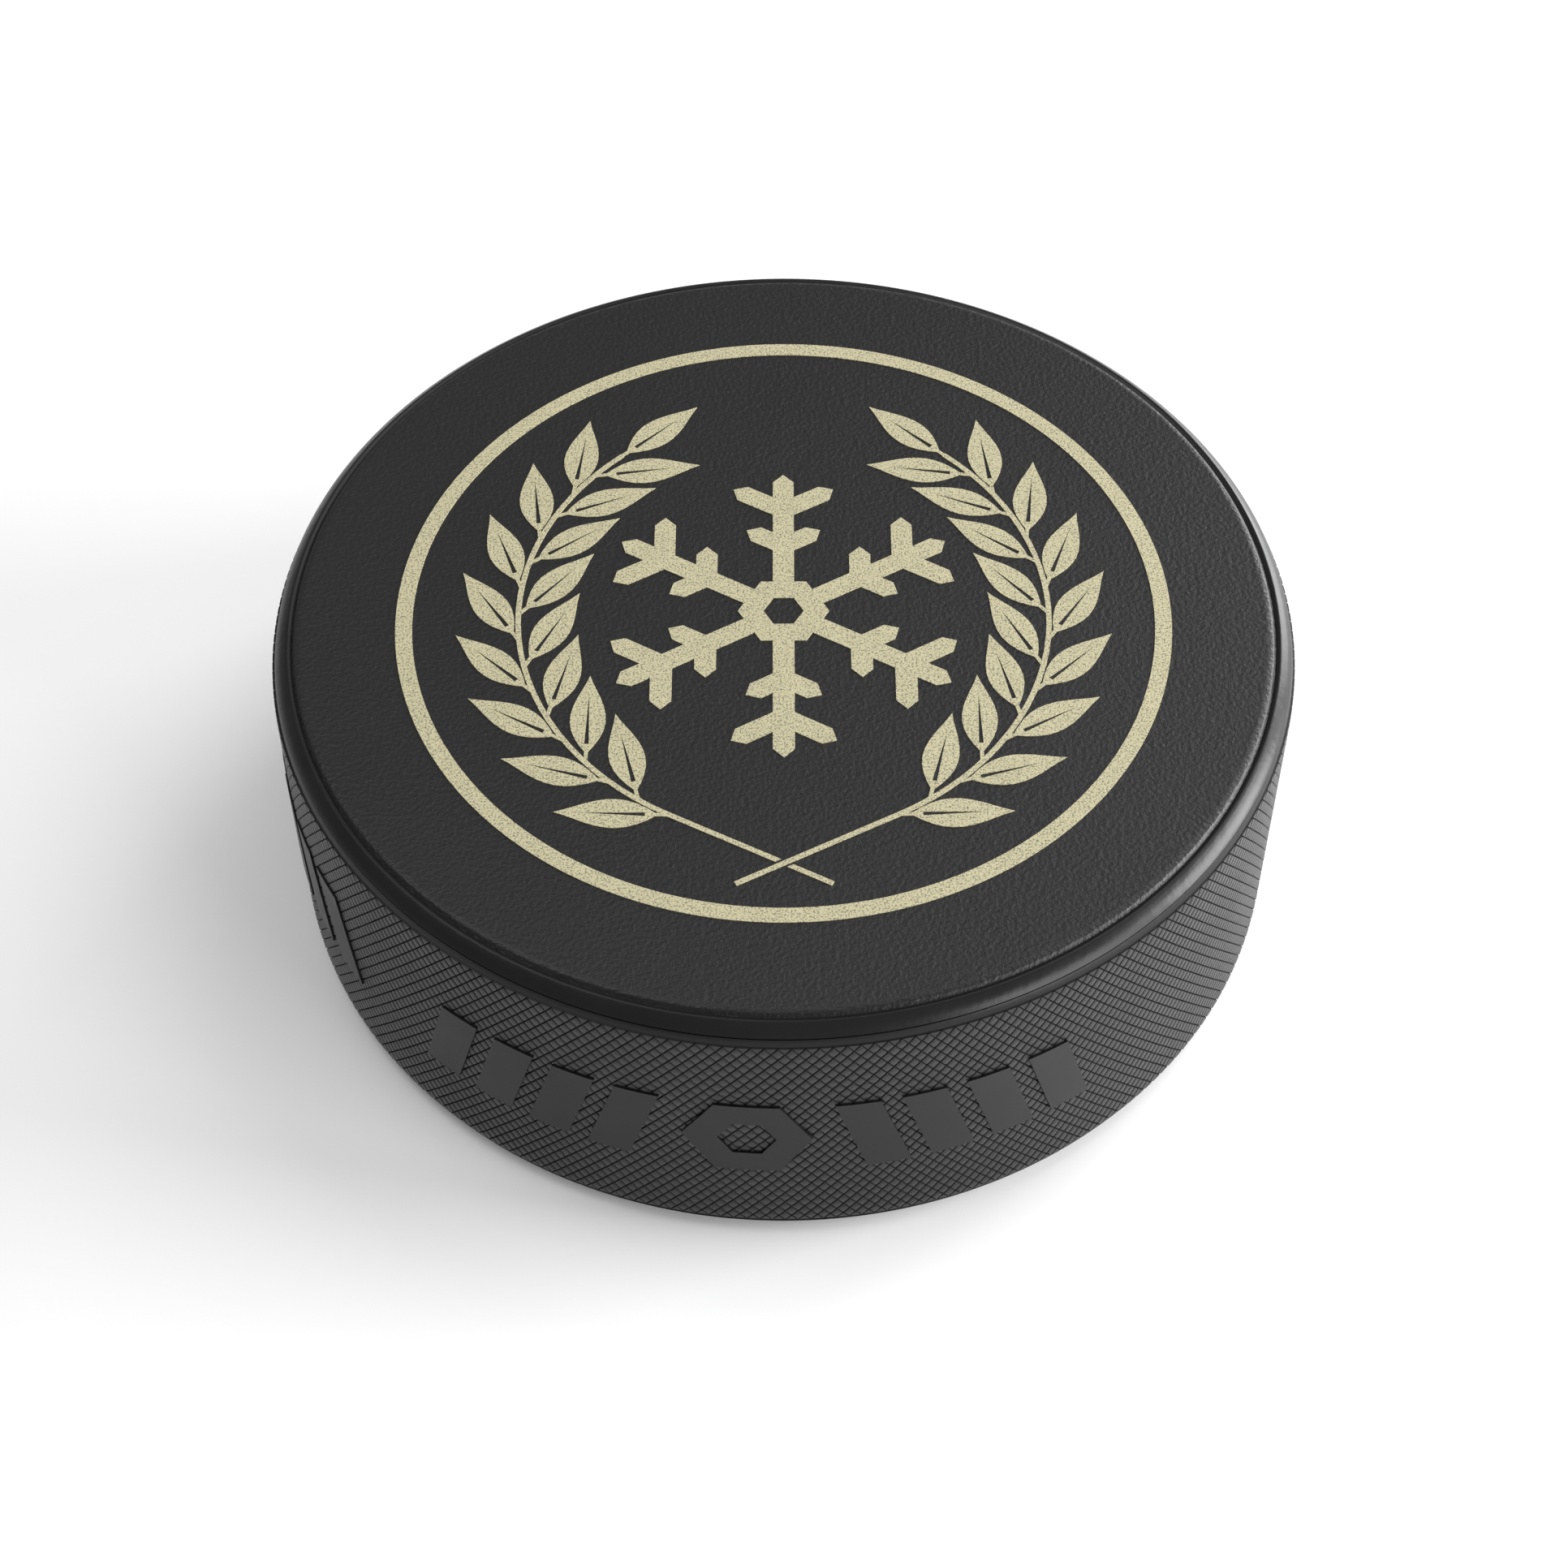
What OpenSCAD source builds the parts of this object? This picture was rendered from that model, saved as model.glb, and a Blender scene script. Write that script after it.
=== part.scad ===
// Ice hockey puck: a solid moulded rubber disc with a printed picture on its upper face.
// Millimetres, +Z up. The origin is the centre of the face that it lies on.
// The front is towards -Y, and the picture reads upright from there.

/* [Disc] */
// Diameter over the side wall, without the raised marks
puck_d = 76.2; // [60:0.1:92]
// Thickness from one flat face to the other
puck_h = 25.4; // [20:0.1:31]
// Radius of the rounded shoulder between the side wall and each face
shoulder_r = 2.3; // [1.6:0.1:3.2]
// Width of the shoulder that is left outside each flat face
face_inset = 1.6; // [1.2:0.1:2.4]

/* [Mould lines] */
// Width of the V line that runs round the edge of each flat face
face_line_w = 0.4; // [0.2:0.05:0.5]
// Width of the V line that the mould's seam leaves on each shoulder
seam_line_w = 0.35; // [0.2:0.05:0.5]
// Where the seam lies on the shoulder, in degrees above the side wall
seam_angle = 31; // [15:1:50]

/* [Side marks] */
// Height of the marks on the side wall
mark_h = 8; // [5:0.1:10]
// How far the marks' faces stand out from the wall
mark_rise = 0.15; // [0.1:0.05:0.4]
// Width of a slanted bar, measured round the wall
bar_w = 3.2; // [2:0.1:4.5]
// How far a bar's top stands sideways from its foot
bar_slant = 2.4; // [0:0.1:4]
// Gap between neighbouring marks, measured round the wall
mark_gap = 1.5; // [1:0.1:2.5]
// Bars on each side of a hexagon
bars_per_side = 4; // [1:1:4]
// Width of the hexagon's line
hexagon_line_w = 2.2; // [1:0.1:3]
// Groups of marks that follow one another round the wall
mark_groups = 3; // [1:1:3]
// Plain wall between two groups
group_gap = 8; // [4:0.5:12]
// Direction of the first group's hexagon, in degrees from the front
first_group_angle = -4; // [-180:1:180]

/* [Printed ring] */
// Thickness of the ink film, the same all over the picture
ink_t = 0.06; // [0.03:0.01:0.2]
// Bare rubber between the edge of the flat face and the ring
ring_margin = 7.7; // [3:0.1:9]
// Width of the ring
ring_w = 1.25; // [0.6:0.05:2.5]

/* [Printed branches] */
// Clearance from a leaf to the ring
leaf_clearance = 1; // [0.6:0.1:3]
// Length of a leaf
leaf_l = 7.4; // [5:0.1:9]
// Greatest width of a leaf
leaf_w = 2.6; // [1.6:0.1:3.2]
// Angle between an outer leaf and its stem, in degrees
outer_leaf_angle = 26; // [20:1:34]
// Angle between an inner leaf and its stem, in degrees
inner_leaf_angle = 42; // [34:1:50]
// Distance between leaves on one side of a stem
leaf_pitch = 5.2; // [4.5:0.1:8]
// Width of the open rib line at a leaf's foot
rib_w = 0.34; // [0.2:0.02:0.6]
// Width of a stem
stem_w = 0.4; // [0.3:0.05:0.8]
// Width of a leaf's stalk
stalk_w = 0.28; // [0.16:0.02:0.28]
// How far each stem's circle is moved past the middle
stem_shift = 2.2; // [1:0.1:4]
// Direction in which a stem's straight foot meets its curve, in degrees below level
foot_angle = 62; // [55:1:70]
// Length of the straight foot, which crosses the other branch's foot
foot_l = 13; // [11:0.1:14]
// Gap that the left-hand foot leaves on each side of the right-hand one where they cross
crossing_gap = 0.2; // [0.1:0.05:0.5]
// Direction in which a stem ends, in degrees above level
stem_end = 48; // [40:1:60]

/* [Printed snowflake] */
// Clearance from the snowflake to the leaves
snow_clearance = 1.2; // [0.6:0.1:3]
// Width of the snowflake's arms and twigs
snow_line_w = 1.6; // [0.8:0.1:2]
// Length of the pair of twigs nearer the middle
inner_twig_l = 3.2; // [2:0.1:3.8]
// Length of the pair of twigs nearer the tip
outer_twig_l = 4.4; // [2:0.1:5.4]
// Corner radius of the six-sided hub
hub_r = 3.4; // [2:0.1:4.2]
// Corner radius of the six-sided hole in the hub
hub_hole_r = 1.5; // [0.5:0.1:2]
// How far the outer twigs' tips stay inside the circle through the arms' tips
twig_setback = 1; // [0.5:0.1:2]

/* [Hidden] */
$fn = 120;
rubber_colour = [0.16, 0.16, 0.17];
ink_colour = [0.80, 0.76, 0.59];

puck_r = puck_d / 2;
face_r = puck_r - face_inset;
mark_face_r = puck_r + mark_rise;

// The hexagons stand on a flat side, so their height across flats is the marks' height.
hexagon_r = mark_h / 2 / cos(30);
bar_pitch = bar_w + mark_gap;
bar_reach = bars_per_side * bar_pitch + bar_slant;
group_w = 2 * (hexagon_r + bar_reach);
// How deep inside the wall a mark's prism starts, so that its outer corners are rooted in the curved wall
mark_root = puck_r - sqrt(puck_r * puck_r - hexagon_r * hexagon_r) + mark_rise;

ring_r = face_r - ring_margin;
ring_inner_r = ring_r - ring_w;

// A leaf's foot stands off the stem by its stalk.
stalk_l = 2 * stem_w;
leaf_reach = stalk_l + leaf_l;
// A leaf's outline is a sine drawn out towards the tip, and these powers say how far.
leaf_fullness = 0.82;
leaf_sharpness = 1.2;
leaf_segments = 10;
rib_start = leaf_l / 8;
rib_end = leaf_l * 3 / 4;
// The stem's circle puts the outer leaves' tips on a circle that clears the ring.
outer_tip_r = ring_inner_r - leaf_clearance;
outer_tip_rise = leaf_reach * cos(outer_leaf_angle);
stem_r = sqrt(outer_tip_r * outer_tip_r - outer_tip_rise * outer_tip_rise)
    - leaf_reach * sin(outer_leaf_angle);
inner_tip_r = norm([
    stem_r - leaf_reach * sin(inner_leaf_angle),
    leaf_reach * cos(inner_leaf_angle)
]);
leaf_step = leaf_pitch / stem_r * 180 / PI;
leaf_turns = floor((stem_end + foot_angle) / leaf_step);
stem_segments = 30;
// The last leaf's stalk starts this many degrees back on the stem, so that they are one film.
end_overlap = stem_w / stem_r * 180 / PI;

snow_r = inner_tip_r - stem_shift - snow_clearance;
snow_arms = 6;
twig_angle = 60;
// The outer twigs leave an arm where their tips will end on their own circle.
outer_tip_across = outer_twig_l * sin(twig_angle);
outer_twig_foot = sqrt(pow(snow_r - twig_setback, 2) - outer_tip_across * outer_tip_across)
    - outer_twig_l * cos(twig_angle);
// The inner twigs leave it halfway from the hub's flat side to the outer ones.
inner_twig_foot = (hub_r * cos(30) + outer_twig_foot) / 2;

// A thin V line, as a square standing on its corner. Half of it is cut into the surface.
module v_line(width) {
    rotate(45)
        square(width / sqrt(2), center = true);
}

// One end of the disc's half section: the shoulder's round, and the flat face that ends just above it.
module shoulder_section() {
    translate([puck_r - shoulder_r, puck_h - shoulder_r])
        circle(r = shoulder_r);
    translate([0, puck_h - shoulder_r])
        square([face_r, shoulder_r]);
}

// The lines cut into one end of the disc: the edge of the flat face, and the mould's seam.
module shoulder_lines() {
    translate([face_r, puck_h])
        v_line(face_line_w);
    translate([puck_r - shoulder_r, puck_h - shoulder_r])
        rotate(seam_angle)
            translate([shoulder_r, 0])
                v_line(seam_line_w);
}

// Repeats one end's section at the other end.
module both_ends() {
    children();
    translate([0, puck_h])
        mirror([0, 1])
            children();
}

// The plain disc, without the side marks.
module disc() {
    rotate_extrude()
        difference() {
            union() {
                translate([0, shoulder_r])
                    square([puck_r, puck_h - 2 * shoulder_r]);
                both_ends()
                    shoulder_section();
            }
            both_ends()
                shoulder_lines();
        }
}

// A bar centred on the origin. It leans to the right for a positive slant.
module slanted_bar(slant) {
    half_w = bar_w / 2;
    half_h = mark_h / 2;
    polygon([
        [-half_w - slant / 2, -half_h],
        [half_w - slant / 2, -half_h],
        [half_w + slant / 2, half_h],
        [-half_w + slant / 2, half_h]
    ]);
}

module hexagon_line() {
    difference() {
        circle(r = hexagon_r, $fn = 6);
        circle(r = hexagon_r - hexagon_line_w / cos(30), $fn = 6);
    }
}

// Carries a flat outline to the side wall, arc millimetres round from the front, as a prism through it.
module on_wall(arc) {
    rotate(arc / puck_r * 180 / PI)
        translate([0, mark_root - puck_r, puck_h / 2])
            rotate([90, 0, 0])
                linear_extrude(height = mark_root + 2 * mark_rise)
                    children();
}

// A hexagon between two sets of bars that lean towards it.
module mark_group(middle) {
    on_wall(middle)
        hexagon_line();
    for (side = [-1, 1], i = [1:bars_per_side]) {
        first_bar = hexagon_r + mark_gap + (bar_w + bar_slant) / 2 - bar_pitch;
        on_wall(middle + side * (first_bar + i * bar_pitch))
            slanted_bar(-side * bar_slant);
    }
}

// Every mark, its prism trimmed to a curved face that follows the wall.
module side_marks() {
    first_middle = first_group_angle * PI / 180 * puck_r;
    intersection() {
        for (i = [0:mark_groups - 1])
            mark_group(first_middle - i * (group_w + group_gap));
        cylinder(r = mark_face_r, h = puck_h);
    }
}

module puck_body() {
    color(rubber_colour)
        union() {
            disc();
            side_marks();
        }
}

// Turns a flat outline into a film of ink on the upper face.
module ink_film() {
    color(ink_colour)
        translate([0, 0, puck_h])
            linear_extrude(height = ink_t)
                children();
}

module print_ring() {
    ink_film()
        difference() {
            circle(r = ring_r);
            circle(r = ring_inner_r);
        }
}

// Half a leaf's width at a share of the way from its foot to its tip
function leaf_half_w(share) =
    leaf_w / 2 * pow(sin(180 * pow(share, leaf_fullness)), leaf_sharpness);

// A leaf along +X on its stalk, with the rib left open
module leaf() {
    translate([0, -stalk_w / 2])
        square([stalk_l + rib_start, stalk_w]);
    translate([stalk_l, 0])
        difference() {
            polygon([
                for (i = [0:leaf_segments])
                    [leaf_l * i / leaf_segments, -leaf_half_w(i / leaf_segments)],
                for (i = [leaf_segments - 1:-1:1])
                    [leaf_l * i / leaf_segments, leaf_half_w(i / leaf_segments)]
            ]);
            polygon([[rib_start, -rib_w / 2], [rib_end, 0], [rib_start, rib_w / 2]]);
        }
}

// Places a leaf on the stem's circle, turned away from the stem's own direction.
module leaf_at(angle, turn) {
    rotate(angle)
        translate([stem_r, 0])
            rotate(90 + turn)
                leaf();
}

// One edge of the stem, a distance out from its middle line: the foot's free end, then the curve
function stem_edge(out) = [
    (stem_r + out) * [cos(foot_angle), -sin(foot_angle)] - foot_l * [sin(foot_angle), cos(foot_angle)],
    for (i = [0:stem_segments])
        let (angle = i / stem_segments * (foot_angle + stem_end) - foot_angle)
            (stem_r + out) * [cos(angle), sin(angle)]
];

// The stem, or the wider outline that clears it
module stem(width) {
    inner_edge = stem_edge(-width / 2);
    polygon(concat(
        stem_edge(width / 2),
        [for (i = [len(inner_edge) - 1:-1:0]) inner_edge[i]]
    ));
}

// The right-hand branch: outer and inner leaves by turns, and one leaf at the stem's end.
module branch() {
    translate([-stem_shift, 0]) {
        stem(stem_w);
        for (i = [0:leaf_turns - 1]) {
            leaf_at(i * leaf_step - foot_angle, -outer_leaf_angle);
            leaf_at((i + 1 / 2) * leaf_step - foot_angle, inner_leaf_angle);
        }
        leaf_at(stem_end - end_overlap, 0);
    }
}

module print_branch_right() {
    ink_film()
        branch();
}

// The left-hand branch passes under the right-hand one, so it is open on both sides of that stem.
module print_branch_left() {
    ink_film()
        difference() {
            mirror([1, 0])
                branch();
            translate([-stem_shift, 0])
                stem(stem_w + 2 * crossing_gap);
        }
}

// A bar from the origin along +Y that ends in a point.
module pointed_bar(length) {
    half_w = snow_line_w / 2;
    polygon([
        [-half_w, 0],
        [half_w, 0],
        [half_w, length - half_w],
        [0, length],
        [-half_w, length - half_w]
    ]);
}

// A pair of twigs, one on each side of an arm
module twigs(foot, length) {
    for (side = [-1, 1])
        translate([0, foot])
            rotate(side * twig_angle)
                pointed_bar(length);
}

module snow_arm() {
    pointed_bar(snow_r);
    twigs(inner_twig_foot, inner_twig_l);
    twigs(outer_twig_foot, outer_twig_l);
}

module print_snowflake() {
    ink_film()
        difference() {
            union() {
                for (i = [0:snow_arms - 1])
                    rotate(i * 360 / snow_arms)
                        snow_arm();
                circle(r = hub_r, $fn = 6);
            }
            circle(r = hub_hole_r, $fn = 6);
        }
}

puck_body();
print_ring();
print_branch_left();
print_branch_right();
print_snowflake();
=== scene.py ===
"""The looks of an ice hockey puck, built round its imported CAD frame.

Metres, +Z up. The puck lies on z = 0 with its front towards -Y.
Angles round the puck start at the front and grow towards +X.
"""
import math

import bpy
import numpy as np
from mathutils import Matrix, Vector


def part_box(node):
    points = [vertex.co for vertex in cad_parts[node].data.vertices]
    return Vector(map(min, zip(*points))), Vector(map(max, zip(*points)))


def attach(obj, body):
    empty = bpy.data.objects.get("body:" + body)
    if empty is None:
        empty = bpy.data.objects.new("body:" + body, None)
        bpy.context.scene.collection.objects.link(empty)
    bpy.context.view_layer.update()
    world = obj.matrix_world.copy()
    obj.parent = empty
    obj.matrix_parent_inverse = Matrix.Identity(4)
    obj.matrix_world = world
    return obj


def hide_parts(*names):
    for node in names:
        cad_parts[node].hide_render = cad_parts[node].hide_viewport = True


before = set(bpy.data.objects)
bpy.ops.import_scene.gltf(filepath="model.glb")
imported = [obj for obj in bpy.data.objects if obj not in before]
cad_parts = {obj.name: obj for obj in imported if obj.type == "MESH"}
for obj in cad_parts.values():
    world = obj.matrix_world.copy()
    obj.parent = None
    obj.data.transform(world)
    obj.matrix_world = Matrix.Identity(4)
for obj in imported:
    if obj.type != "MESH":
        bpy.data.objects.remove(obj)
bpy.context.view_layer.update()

MM = 0.001

# The camera, which looks at the puck from the front and above
CAMERA_ELEVATION = math.radians(50.97)
CAMERA_DISTANCE = 238.45 * MM
CAMERA_TARGET = Vector((0, -5.68 * MM, 12 * MM))
CAMERA_ROLL = math.radians(-0.157)
CAMERA_LENS = 71.52

# The disc, from the frame. Its +X side has no raised mark, so the box ends at the wall there.
# The half section is worked out from the middle plane and mirrored.
PUCK_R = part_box("puck_body")[1].x
PUCK_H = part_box("puck_body")[1].z
HALF_H = PUCK_H / 2
SHOULDER_R = 2.3 * MM
SHOULDER_MIDDLE = (PUCK_R - SHOULDER_R, HALF_H - SHOULDER_R)
# The face's finish ends in the groove round its edge
FACE_FINISH_R = PUCK_R - 1.65 * MM

# The knurl: flat-topped diamonds between two sets of slanted grooves
KNURL_COLUMNS = 256
KNURL_STEPS = 35
KNURL_STEP = 0.625 * MM
KNURL_TOP = KNURL_STEPS * KNURL_STEP / 2
GROOVE_DEPTH = 0.12 * MM
# Each loop inside a diamond, as its share of the diamond's size and its depth below the tops
DIAMOND_LOOPS = ((0.9, 0.035 * MM), (0.79, 0))
# Polygons of the wall that face outwards less than this are sides of grooves and of marks; they get a
# duller copy of the wall rubber as painted shade
LEAST_OUTWARD = 0.9

# The raised marks on the wall, as in the CAD, and how deep in the rubber they are rooted
MARK_H = 8 * MM
MARK_RISE = 0.15 * MM
MARK_ROOT = 0.6 * MM
BAR_W = 3.2 * MM
BAR_SLANT = 2.4 * MM
MARK_GAP = 1.5 * MM
BARS_PER_SIDE = 4
HEXAGON_R = MARK_H / 2 / math.cos(math.radians(30))
HEXAGON_LINE_W = 2.2 * MM
MARK_GROUPS = 3
GROUP_GAP = 8 * MM
FIRST_GROUP_ANGLE = math.radians(-4)

# Softboxes, all alike
SOFTBOX_SIZE = 0.28
SOFTBOX_DISTANCE = 0.5


def make_camera():
    """Looks at the puck as the photograph does."""
    camera = bpy.data.objects.new("camera", bpy.data.cameras.new("camera"))
    camera.data.lens = CAMERA_LENS
    camera.data.sensor_width = 36
    camera.data.clip_start = 10 * MM
    back = Vector((0, -math.cos(CAMERA_ELEVATION), math.sin(CAMERA_ELEVATION)))
    place = Matrix.Translation(CAMERA_TARGET + back * CAMERA_DISTANCE)
    facing = back.to_track_quat("Z", "Y").to_matrix().to_4x4()
    roll = Matrix.Rotation(CAMERA_ROLL, 4, "Z")
    camera.matrix_world = place @ facing @ roll
    bpy.context.scene.collection.objects.link(camera)
    bpy.context.scene.camera = camera


def new_object(name, points, faces):
    """A mesh object from a list of points and a list of faces."""
    mesh = bpy.data.meshes.new(name)
    mesh.from_pydata(points, [], faces)
    piece = bpy.data.objects.new(name, mesh)
    bpy.context.scene.collection.objects.link(piece)
    return piece


# ---------------------------------------------------------------- half section

def arc(middle, radius, start, end, steps):
    """Points on an arc of the half section. Angles are in degrees above the outward direction."""
    angles = np.radians(np.linspace(start, end, steps + 1))
    return [(middle[0] + radius * math.cos(a), middle[1] + radius * math.sin(a)) for a in angles]


def point_under_shoulder(angle, depth):
    """A point that lies a depth under the shoulder's round."""
    return arc(SHOULDER_MIDDLE, SHOULDER_R - depth, angle, angle, 0)[0]


def end_section():
    """One end of the half section, from the flat face's edge down to the knurl."""
    lip_r = 1.1 * MM
    lip_start = PUCK_R - 2.32 * MM
    lip = arc((lip_start, HALF_H - lip_r), lip_r, 90, 62, 5)
    groove = [
        (PUCK_R - 1.7 * MM, HALF_H - 0.3 * MM),
        (PUCK_R - 1.6 * MM, HALF_H - 0.36 * MM),
        (PUCK_R - 1.49 * MM, HALF_H - 0.28 * MM),
    ]
    ridge_r = 0.2 * MM
    ridge = arc((PUCK_R - 1.3 * MM, HALF_H - 0.22 * MM - ridge_r), ridge_r, 125, 62, 4)
    shoulder = arc(SHOULDER_MIDDLE, SHOULDER_R, 56, 33, 12)
    seam = [point_under_shoulder(31.5, 0.3 * MM), point_under_shoulder(29.5, GROOVE_DEPTH)]
    band_end = math.degrees(math.asin((KNURL_TOP - SHOULDER_MIDDLE[1]) / SHOULDER_R))
    band = arc(SHOULDER_MIDDLE, SHOULDER_R - GROOVE_DEPTH, 27, band_end + 3, 4)
    return lip + groove + ridge + shoulder + seam + band


def wall_radius(z):
    """The radius of the knurl's tops at a height above the middle plane."""
    above = np.clip(np.abs(z) - SHOULDER_MIDDLE[1], 0, SHOULDER_R)
    return SHOULDER_MIDDLE[0] + np.sqrt(SHOULDER_R ** 2 - above ** 2)


# ---------------------------------------------------------------- rubber body

class Shell:
    """Points and faces of one closed surface, gathered in rings and loops."""

    def __init__(self):
        self.points = []
        self.faces = []
        self.count = 0

    def add_points(self, columns, radius, z):
        """Adds points, given as the column they stand at, and returns their numbers."""
        columns, radius, z = np.broadcast_arrays(columns, radius, z)
        turn = columns * 2 * math.pi / KNURL_COLUMNS
        xyz = np.stack([radius * np.sin(turn), -radius * np.cos(turn), HALF_H + z], axis=-1)
        self.points += xyz.reshape(-1, 3).tolist()
        numbers = self.count + np.arange(columns.size).reshape(columns.shape)
        self.count += columns.size
        return numbers

    def add_faces(self, *corners):
        """Adds one face for each place in the arrays of corner numbers."""
        self.faces += np.stack([c.ravel() for c in corners], axis=-1).tolist()

    def join_loops(self, outer, inner):
        """Adds faces between two sets of loops. Each row of the arrays is one closed loop."""
        self.add_faces(outer, np.roll(outer, -1, 1), np.roll(inner, -1, 1), inner)


def add_cells(shell, corners, middle, columns, z):
    """Adds cells that rise from their corners in the grooves to a flat top.

    corners holds the numbers of each cell's corner points, middle the cells' middle columns
    and heights, and columns and z the corners' places from that middle.
    """
    outer = corners
    for share, depth in DIAMOND_LOOPS:
        loop_z = middle[1] + share * z
        inner = shell.add_points(middle[0] + share * columns, wall_radius(loop_z) - depth, loop_z)
        shell.join_loops(outer, inner)
        outer = inner
    shell.add_faces(*outer.T)


def add_knurl(shell):
    """Adds the knurl and returns the numbers of its lowest and highest rows of crossings."""
    column = np.arange(KNURL_COLUMNS)
    heights = (np.arange(KNURL_STEPS + 1) - KNURL_STEPS / 2) * KNURL_STEP
    crossings = [
        shell.add_points(column + row % 2 / 2, wall_radius(z) - GROOVE_DEPTH, z)
        for row, z in enumerate(heights)
    ]
    for row, z in enumerate(heights):
        left = crossings[row]
        right = np.roll(left, -1)
        across = column + row % 2 / 2 + 0.5
        beside = np.roll(column, -(row % 2))
        # Corners run anticlockwise as seen from outside: lower, right, upper, left.
        corners = [right, left]
        places = [(0.5, 0), (-0.5, 0)]
        if row < KNURL_STEPS:
            corners.insert(1, crossings[row + 1][beside])
            places.insert(1, (0, KNURL_STEP))
        if row > 0:
            corners.insert(0, crossings[row - 1][beside])
            places.insert(0, (0, -KNURL_STEP))
        places = np.array(places)
        lift = places[:, 1].mean()
        places[:, 1] -= lift
        middle = (across[:, None], z + lift)
        add_cells(shell, np.stack(corners, axis=1), middle, places[:, 0], places[:, 1])
    return crossings[0], crossings[-1]


def add_end(shell, row, shift, side):
    """Adds one end of the disc, from a row of crossings in to the middle of the face."""
    column = np.arange(KNURL_COLUMNS) + shift
    outer = row
    for radius, z in reversed(end_section()):
        inner = shell.add_points(column, radius, side * z)
        bands = (outer, np.roll(outer, -1), np.roll(inner, -1), inner)
        shell.add_faces(*bands[::side])
        outer = inner
    middle = np.broadcast_to(shell.add_points(0, 0, side * HALF_H), outer.shape)
    shell.add_faces(*(outer, np.roll(outer, -1), middle)[::side])


def make_knurled_disc(name):
    """The whole disc as one closed mesh, without the marks."""
    shell = Shell()
    lowest, highest = add_knurl(shell)
    add_end(shell, highest, KNURL_STEPS % 2 / 2, 1)
    add_end(shell, lowest, 0, -1)
    return new_object(name, shell.points, shell.faces)


# ---------------------------------------------------------------- raised marks

def hexagon(radius):
    """Corners of a hexagon that stands on a flat side, anticlockwise."""
    return [(radius * math.cos(a), radius * math.sin(a)) for a in np.radians(range(0, 360, 60))]


def hexagon_line():
    """A hexagon's line: points, and one face for each side."""
    inner_r = HEXAGON_R - HEXAGON_LINE_W / math.cos(math.radians(30))
    sides = [(i, (i + 1) % 6, (i + 1) % 6 + 6, i + 6) for i in range(6)]
    return hexagon(HEXAGON_R) + hexagon(inner_r), sides


def slanted_bar(slant):
    """A bar that leans to the right for a positive slant: points, and its one face."""
    points = [
        (side * BAR_W / 2 + end * slant / 2, end * MARK_H / 2)
        for side, end in ((-1, -1), (1, -1), (1, 1), (-1, 1))
    ]
    return points, [(0, 1, 2, 3)]


def mark_prism(outline, arc_place, first_point):
    """Stands an outline up against the wall as a prism: points, and faces that count from first_point."""
    flat_points, flat_faces = outline
    count = len(flat_points)
    turn = Matrix.Rotation(arc_place / PUCK_R, 3, "Z")
    points = [
        turn @ Vector((x, -reach, HALF_H + z))
        for reach in (PUCK_R - MARK_ROOT, PUCK_R + 2 * MARK_RISE)
        for x, z in flat_points
    ]
    edges = {(f[i], f[(i + 1) % len(f)]) for f in flat_faces for i in range(len(f))}
    rim = sorted(edge for edge in edges if edge[::-1] not in edges)
    faces = [f[::-1] for f in flat_faces]
    faces += [[i + count for i in f] for f in flat_faces]
    faces += [(a, b, b + count, a + count) for a, b in rim]
    return points, [[first_point + i for i in f] for f in faces]


def mark_outlines():
    """Yields each mark's outline and its place round the wall."""
    bar_pitch = BAR_W + MARK_GAP
    group_w = 2 * (HEXAGON_R + BARS_PER_SIDE * bar_pitch + BAR_SLANT)
    first_bar = HEXAGON_R + MARK_GAP + (BAR_W + BAR_SLANT) / 2
    for group in range(MARK_GROUPS):
        middle = FIRST_GROUP_ANGLE * PUCK_R - group * (group_w + GROUP_GAP)
        yield hexagon_line(), middle
        for side in (-1, 1):
            for i in range(BARS_PER_SIDE):
                yield slanted_bar(-side * BAR_SLANT), middle + side * (first_bar + i * bar_pitch)


def make_mark_prisms():
    """Every mark's prism as one object."""
    points, faces = [], []
    for outline, place in mark_outlines():
        more_points, more_faces = mark_prism(outline, place, len(points))
        points += more_points
        faces += more_faces
    return new_object("mark_prisms", points, faces)


def make_mark_drum():
    """The drum that the marks' faces lie on, closed at both ends."""
    count = 4 * KNURL_COLUMNS
    radius = PUCK_R + MARK_RISE
    turns = np.arange(count) * 2 * math.pi / count
    points = [(radius * math.sin(t), -radius * math.cos(t), z) for z in (0, PUCK_H) for t in turns]
    faces = [(i, (i + 1) % count, (i + 1) % count + count, i + count) for i in range(count)]
    faces += [list(range(count))[::-1], list(range(count, 2 * count))]
    return new_object("mark_drum", points, faces)


def combine(piece, other, operation):
    """Turns one closed mesh into its union or intersection with another, which is used up."""
    change = piece.modifiers.new("combine", "BOOLEAN")
    change.operation = operation
    change.solver = "MANIFOLD"
    change.object = other
    graph = bpy.context.evaluated_depsgraph_get()
    mesh = bpy.data.meshes.new_from_object(piece.evaluated_get(graph))
    piece.modifiers.remove(change)
    piece.data = mesh
    bpy.data.objects.remove(other)


def make_puck_rubber():
    """The moulded rubber disc with its knurl, rims and raised marks."""
    piece = make_knurled_disc("puck_rubber")
    marks = make_mark_prisms()
    combine(marks, make_mark_drum(), "INTERSECT")
    combine(piece, marks, "UNION")
    mesh = piece.data
    mesh.shade_smooth()
    mesh.set_sharp_from_angle(angle=math.radians(45))
    normals = piece.modifiers.new("flat_tops", "WEIGHTED_NORMAL")
    normals.keep_sharp = True
    return piece


# ---------------------------------------------------------------- materials

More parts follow.
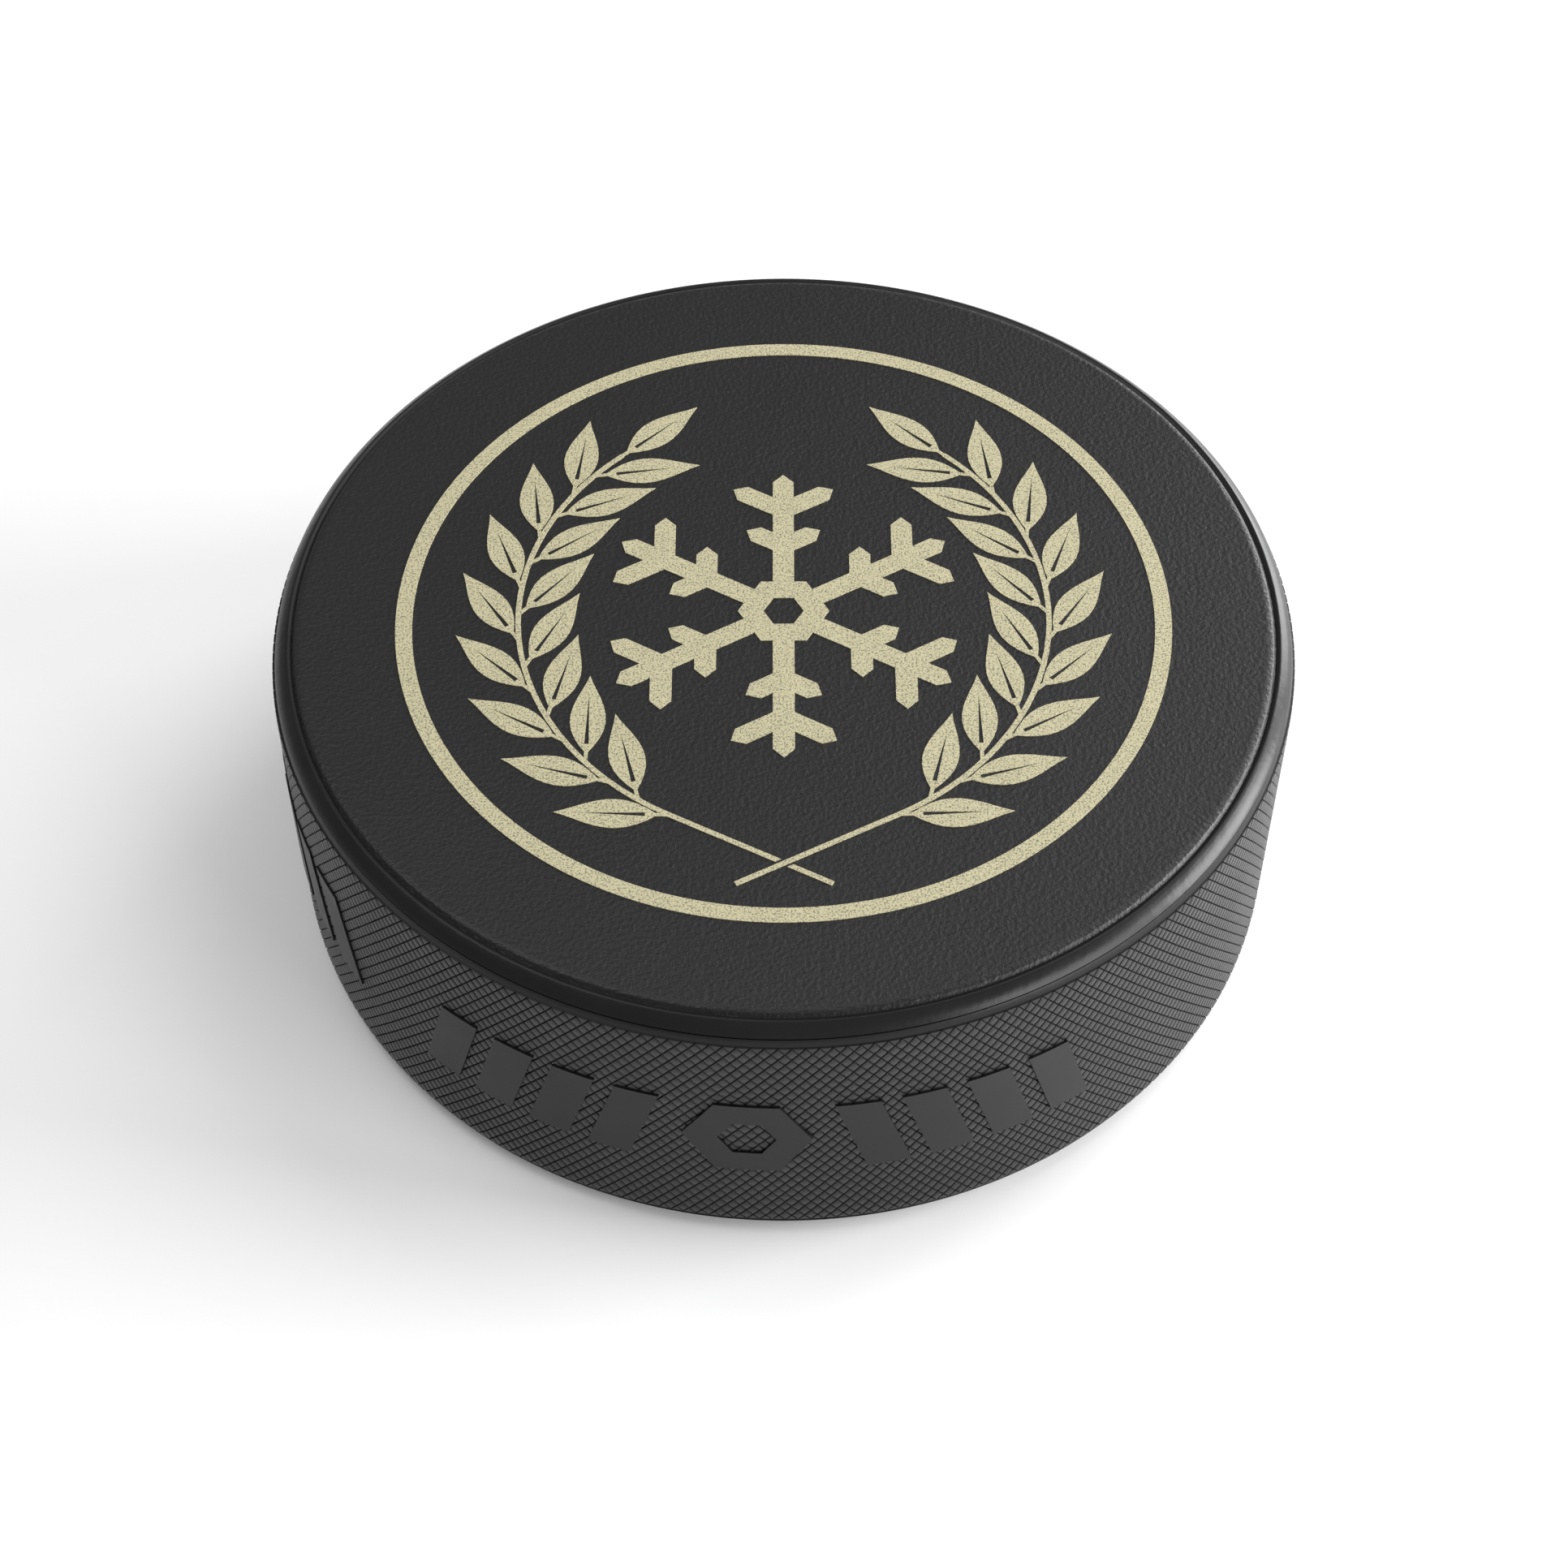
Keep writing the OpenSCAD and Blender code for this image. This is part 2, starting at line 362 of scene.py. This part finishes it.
class Nodes:
    """A material's node tree, with short calls that add nodes to it and join them."""

    def __init__(self, name):
        self.material = bpy.data.materials.new(name)
        self.material.use_nodes = True
        self.tree = self.material.node_tree
        self.shader = self.tree.nodes["Principled BSDF"]
        self.place = self.add("ShaderNodeTexCoord").outputs["Object"]

    def add(self, kind, inputs=None, **settings):
        """Adds a node with some inputs and settings."""
        node = self.tree.nodes.new(kind)
        for name, value in settings.items():
            setattr(node, name, value)
        self.feed(node, inputs or {})
        return node

    def feed(self, node, inputs):
        """Sets a node's inputs to numbers and colours, or joins them to sockets."""
        for name, value in inputs.items():
            if isinstance(value, bpy.types.NodeSocket):
                self.tree.links.new(value, node.inputs[name])
            else:
                node.inputs[name].default_value = value

    def noise(self, size, detail, roughness=0.5, place=None):
        """Noise from 0 to 1 whose largest blobs are about a size across."""
        inputs = {
            "Vector": place or self.place,
            "Scale": 1 / size,
            "Detail": detail,
            "Roughness": roughness,
        }
        return self.add("ShaderNodeTexNoise", inputs).outputs["Fac"]

    def stretched(self, *shares):
        """The object's own places, shrunk along the axes so that blobs come out longer there."""
        mapping = self.add("ShaderNodeMapping", {"Vector": self.place, "Scale": shares})
        return mapping.outputs["Vector"]

    def remap(self, value, low, high, to_low, to_high):
        """Spreads a range of a value over another range, and stops at its ends."""
        inputs = {"Value": value, 1: low, 2: high, 3: to_low, 4: to_high}
        return self.add("ShaderNodeMapRange", inputs).outputs["Result"]

    def mix(self, share, first, second):
        """A colour between two colours."""
        node = self.add("ShaderNodeMix", data_type="RGBA")
        self.tree.links.new(share, node.inputs["Factor"])
        self.feed(node, {"A": first, "B": second})
        return node.outputs["Result"]

    def bump(self, height, depth, below=None):
        """A bump of a depth in metres, on top of another bump if one is given."""
        inputs = {"Height": height, "Distance": depth}
        if below:
            inputs["Normal"] = below
        return self.add("ShaderNodeBump", inputs).outputs["Normal"]

    def finish(self, **inputs):
        """Sets the shader's inputs by name, with underscores for spaces."""
        self.feed(self.shader, {name.replace("_", " "): value for name, value in inputs.items()})
        return self.material


def grey(value):
    """A colour without a hue."""
    return (value, value, value, 1)


def make_face_rubber():
    """The flat faces: matt rubber with a fine leathery grain."""
    nodes = Nodes("face_rubber")
    pebbles = nodes.noise(0.33 * MM, detail=2)
    streaks = nodes.noise(0.36 * MM, detail=2, place=nodes.stretched(0.5, 1, 1))
    patches = nodes.noise(9 * MM, detail=3)
    grain = nodes.bump(streaks, 0.04 * MM, nodes.bump(pebbles, 0.075 * MM))
    return nodes.finish(
        Base_Color=nodes.mix(patches, grey(0.004), grey(0.006)),
        Roughness=nodes.remap(pebbles, 0.3, 0.7, 0.48, 0.40),
        Specular_IOR_Level=0.32,
        Normal=grain,
    )


def make_shoulder_rubber():
    """The shoulders: smoother and glossier rubber with a faint grain."""
    nodes = Nodes("shoulder_rubber")
    patches = nodes.noise(6 * MM, detail=3)
    wrinkles = nodes.noise(0.8 * MM, detail=3, place=nodes.stretched(1, 1, 0.5))
    return nodes.finish(
        Base_Color=nodes.mix(patches, grey(0.006), grey(0.009)),
        Roughness=nodes.remap(patches, 0.3, 0.7, 0.28, 0.34),
        Specular_IOR_Level=0.2,
        Normal=nodes.bump(wrinkles, 0.025 * MM),
    )


def make_wall_rubber(name, shine):
    """One region of the side wall: matt rubber, a little dusty in patches. A low shine gives the grooves'
    copy its painted shade.
    """
    nodes = Nodes(name)
    patches = nodes.noise(7 * MM, detail=4)
    specks = nodes.noise(0.12 * MM, detail=2)
    return nodes.finish(
        Base_Color=nodes.mix(patches, grey(0.005), grey(0.008)),
        Roughness=nodes.remap(patches, 0.3, 0.7, 0.36, 0.44),
        Specular_IOR_Level=shine,
        Normal=nodes.bump(specks, 0.003 * MM),
    )


def make_ink():
    """Matt cream ink over the rubber's grain, speckled where the ink is thin."""
    nodes = Nodes("ink")
    specks = nodes.noise(0.14 * MM, detail=2, roughness=0.6)
    patches = nodes.noise(2.5 * MM, detail=2)
    cream = nodes.mix(patches, (0.38, 0.35, 0.215, 1), (0.44, 0.405, 0.25, 1))
    thin = nodes.remap(specks, 0.34, 0.52, 1, 0)
    return nodes.finish(
        Base_Color=nodes.mix(thin, cream, (0.12, 0.11, 0.08, 1)),
        Roughness=nodes.remap(specks, 0.3, 0.7, 0.75, 0.6),
        Normal=nodes.bump(specks, 0.02 * MM),
    )


def make_floor_paint():
    """A plain pale floor with a barely visible unevenness."""
    nodes = Nodes("floor_paint")
    patches = nodes.noise(120 * MM, detail=2)
    return nodes.finish(
        Base_Color=nodes.mix(patches, grey(0.84), grey(0.86)),
        Roughness=nodes.remap(patches, 0, 1, 0.9, 1),
        Specular_IOR_Level=0.0,
    )


# ---------------------------------------------------------------- scene

def rubber_region(polygon):
    """The region of the disc that a polygon of its mesh belongs to."""
    x, y, z = polygon.center
    radius = math.hypot(x, y)
    if abs(z - HALF_H) > KNURL_TOP:
        return "face" if radius < FACE_FINISH_R else "shoulder"
    outward = (x * polygon.normal.x + y * polygon.normal.y) / radius
    if outward < LEAST_OUTWARD:
        return "groove"
    return "mark" if radius > PUCK_R + MARK_RISE / 2 else "knurl"


def finish_rubber(piece):
    """Gives each region of the disc its own finish of rubber and hands the disc over to the frame."""
    finishes = {
        "knurl": make_wall_rubber("knurl_rubber", 0.38),
        # Painted shade: the sides of grooves and marks get the same rubber with less shine, so they come
        # out darker
        "groove": make_wall_rubber("groove_rubber_painted_shade", 0.15),
        "mark": make_wall_rubber("mark_rubber", 0.22),
        "shoulder": make_shoulder_rubber(),
        "face": make_face_rubber(),
    }
    places = {region: i for i, region in enumerate(finishes)}
    mesh = piece.data
    mesh.materials.clear()
    for material in finishes.values():
        mesh.materials.append(material)
    for polygon in mesh.polygons:
        polygon.material_index = places[rubber_region(polygon)]
    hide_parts("puck_body")
    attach(piece, "root")


def finish_ink():
    """Gives the printed films of the frame their ink."""
    ink = make_ink()
    for name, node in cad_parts.items():
        if name.startswith("print_"):
            for slot in node.material_slots:
                slot.material = ink


def make_floor():
    """A wide square floor at the puck's underside."""
    reach = 5.0
    corners = [(-reach, -reach, 0), (reach, -reach, 0), (reach, reach, 0), (-reach, reach, 0)]
    floor = new_object("floor", corners, [(0, 1, 2, 3)])
    floor.data.materials.append(make_floor_paint())


def make_softbox(name, azimuth, elevation, power):
    """A square softbox that faces the puck. Azimuth 0 is the front, and 90 is +X."""
    turn, rise = math.radians(azimuth), math.radians(elevation)
    towards = Vector((math.sin(turn) * math.cos(rise), -math.cos(turn) * math.cos(rise), math.sin(rise)))
    light = bpy.data.lights.new(name, "AREA")
    light.size = SOFTBOX_SIZE
    light.energy = power
    softbox = bpy.data.objects.new(name, light)
    softbox.location = towards * SOFTBOX_DISTANCE
    softbox.rotation_euler = towards.to_track_quat("Z", "Y").to_euler()
    softbox.visible_camera = False
    bpy.context.scene.collection.objects.link(softbox)


def make_lights():
    """Soft studio light: a low wall of softboxes on the right, and weak ones overhead."""
    make_softbox("right_front", 50, 12, 2.2)
    make_softbox("right", 90, 12, 5.2)
    make_softbox("right_back", 135, 12, 2.8)
    make_softbox("high_back", 135, 58, 0.65)
    make_softbox("high_left", 262, 66, 0.75)
    world = bpy.data.worlds.new("room")
    world.use_nodes = True
    world.node_tree.nodes["Background"].inputs["Color"].default_value = grey(0.42)
    bpy.context.scene.world = world
    bpy.context.scene.view_settings.view_transform = "Standard"


make_camera()
finish_rubber(make_puck_rubber())
finish_ink()
make_floor()
make_lights()
